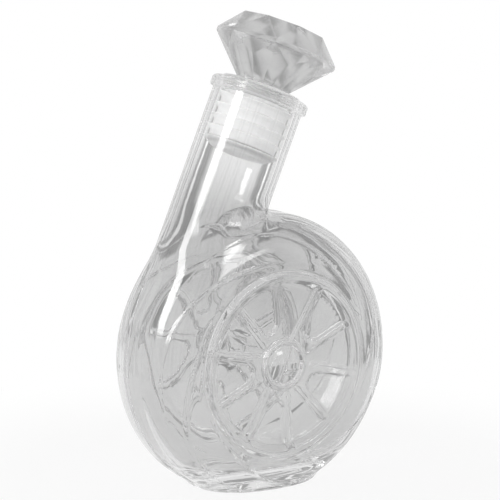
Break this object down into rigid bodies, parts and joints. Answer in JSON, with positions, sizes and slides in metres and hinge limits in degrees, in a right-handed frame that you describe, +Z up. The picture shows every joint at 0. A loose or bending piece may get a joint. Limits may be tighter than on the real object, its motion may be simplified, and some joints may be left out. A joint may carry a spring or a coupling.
{
  "type": "whisky bottle with glass stopper",
  "caption": "Clear glass whisky bottle shaped like an upright wheel, with a leaning neck and a lift-out cut glass stopper on a ribbed plug.",
  "frame": {"origin": "on the table, under the centre of the wheel-shaped body", "axes": "+Z up, +X towards the side the neck leans to, Y along the wheel's axis with the front face towards -Y"},
  "size_m": [0.14, 0.0612, 0.2312],
  "materials": {
    "bottle_glass": "clear moulded glass, fire-polished",
    "plug_plastic": "translucent white soft plastic",
    "stopper_glass": "clear faceted solid glass"
  },
  "bodies": {
    "bottle": {"glass_bottle": "bottle_glass"},
    "stopper": {"stopper_head": "stopper_glass", "ribbed_plug": "plug_plastic"}
  },
  "joints": [
    {"name": "stopper_lift", "type": "slide", "parent": "bottle", "child": "stopper", "axis": [0.4067, 0, 0.9135], "range_m": [0, 0.06]}
  ]
}
